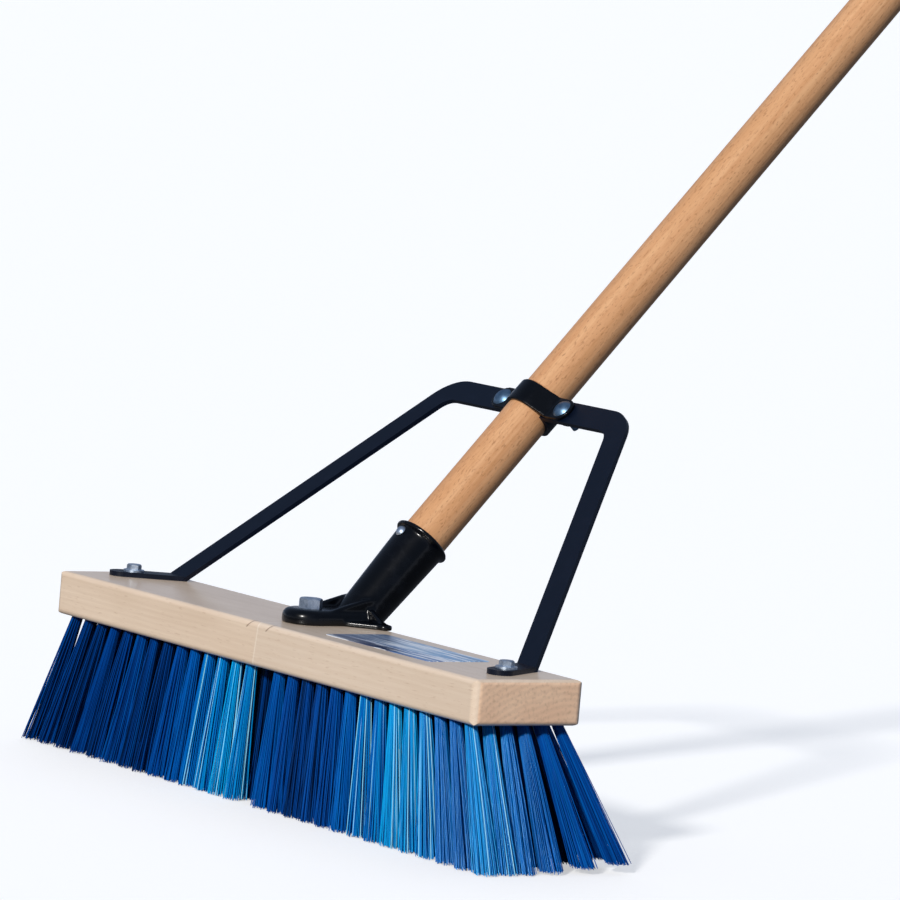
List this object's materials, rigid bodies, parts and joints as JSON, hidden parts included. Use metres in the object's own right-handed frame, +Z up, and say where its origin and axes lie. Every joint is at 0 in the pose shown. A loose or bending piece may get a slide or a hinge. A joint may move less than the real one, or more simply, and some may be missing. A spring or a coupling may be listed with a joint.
{
  "type": "push broom",
  "caption": "Push broom with a hardwood block, blue synthetic bristles, a bolted socket, a wooden handle and a flat steel brace clamped to the handle.",
  "frame": {"origin": "middle of the block's top face, where the handle socket seats", "axes": "+X along the block, +Y to the side that the handle leans to, +Z up out of the block's top face"},
  "size_m": [0.5112, 1.1064, 1.2578],
  "materials": {
    "maple": "satin",
    "handle_wood": "satin",
    "gloss_black": "gloss",
    "satin_black": "satin",
    "zinc": "satin",
    "staple_wire": "satin",
    "label": "satin",
    "blue_bristle": "satin"
  },
  "bodies": {
    "root": {"head_block": "maple", "block_label": "label", "handle": "handle_wood", "handle_socket": "gloss_black", "handle_screw": "zinc", "socket_bolt": "zinc", "socket_bolt_washer": "zinc", "socket_bolt_nut": "zinc", "brace": "satin_black", "brace_screws": "zinc", "clamp_strap": "gloss_black", "clamp_bolts": "zinc", "clamp_washers": "zinc", "clamp_nuts": "zinc", "tuft_staples": "staple_wire", "tuft_row_1": "blue_bristle", "tuft_row_2": "blue_bristle", "tuft_row_3": "blue_bristle", "tuft_row_4": "blue_bristle", "tuft_row_5": "blue_bristle", "tuft_row_6": "blue_bristle"}
  },
  "joints": []
}
